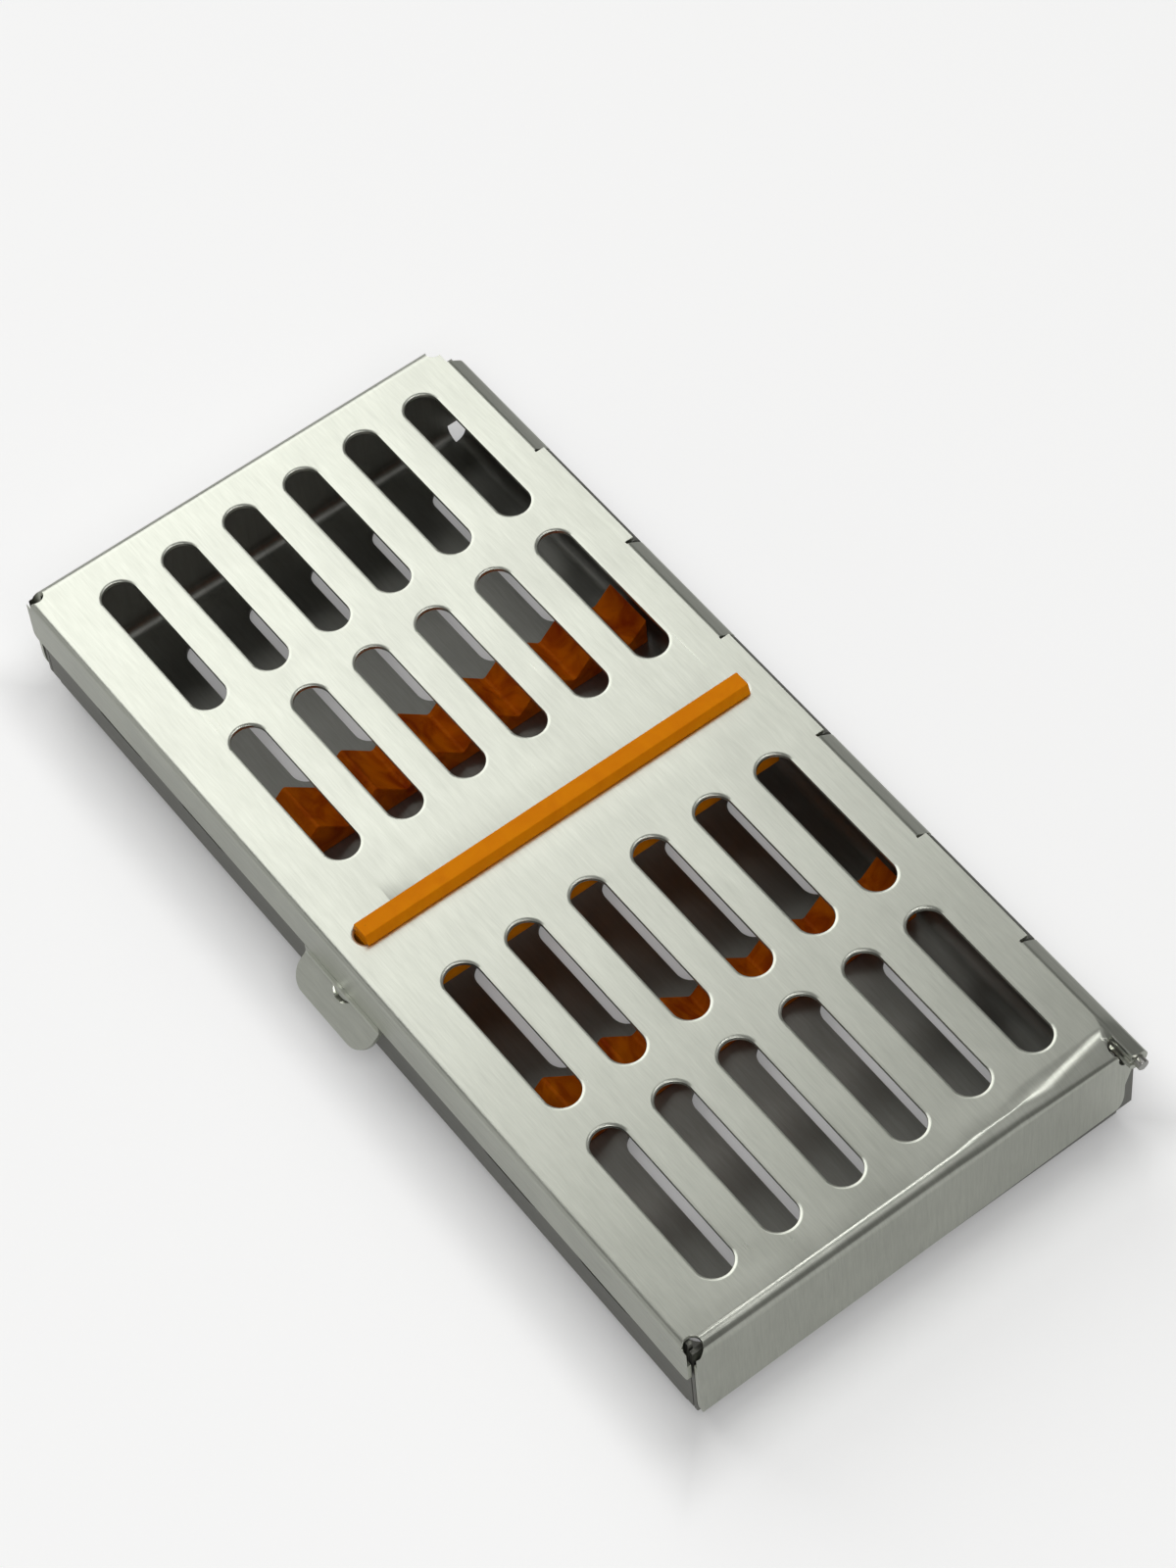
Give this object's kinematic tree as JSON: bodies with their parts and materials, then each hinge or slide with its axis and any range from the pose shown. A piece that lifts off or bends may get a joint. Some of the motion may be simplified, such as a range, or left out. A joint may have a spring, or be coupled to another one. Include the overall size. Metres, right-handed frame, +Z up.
{
  "type": "dental instrument cassette",
  "caption": "Slotted steel cassette for sterilising dental hand instruments, with a hinged lid, a spring latch and silicone racks that hold the handles apart.",
  "frame": {"origin": "on the underside of the tray's floor, on the middle line of the slot pattern, halfway along the cassette", "axes": "+X from the latch side to the hinge side, +Y along the length, away from the end where the hinge rod stands out, +Z up through the lid"},
  "size_m": [0.0905, 0.1829, 0.0275],
  "materials": {
    "lid_steel": "brushed along the length, folds polished",
    "tray_steel": "satin brushed",
    "rod_steel": "drawn wire, smooth",
    "strip_silicone": "smooth moulded silicone",
    "rack_silicone": "smooth moulded silicone"
  },
  "bodies": {
    "tray": {"tray_shell": "tray_steel", "hinge_rod": "rod_steel", "front_rack": "rack_silicone", "rear_rack": "rack_silicone"},
    "lid": {"lid_shell": "lid_steel", "hold_down_strip": "strip_silicone"},
    "latch": {"latch_tongue": "lid_steel"}
  },
  "joints": [
    {"name": "lid_hinge", "type": "hinge", "parent": "tray", "child": "lid", "pos_m": [0.0413, 0, 0.02055], "axis": [0, 1, 0], "range_deg": [0, 105]},
    {"name": "latch_flex", "type": "hinge", "parent": "lid", "child": "latch", "pos_m": [-0.043, 0.0004, 0.01355], "axis": [0, 1, 0], "range_deg": [0, 10], "stiffness_Nm_per_rad": 0.35}
  ]
}
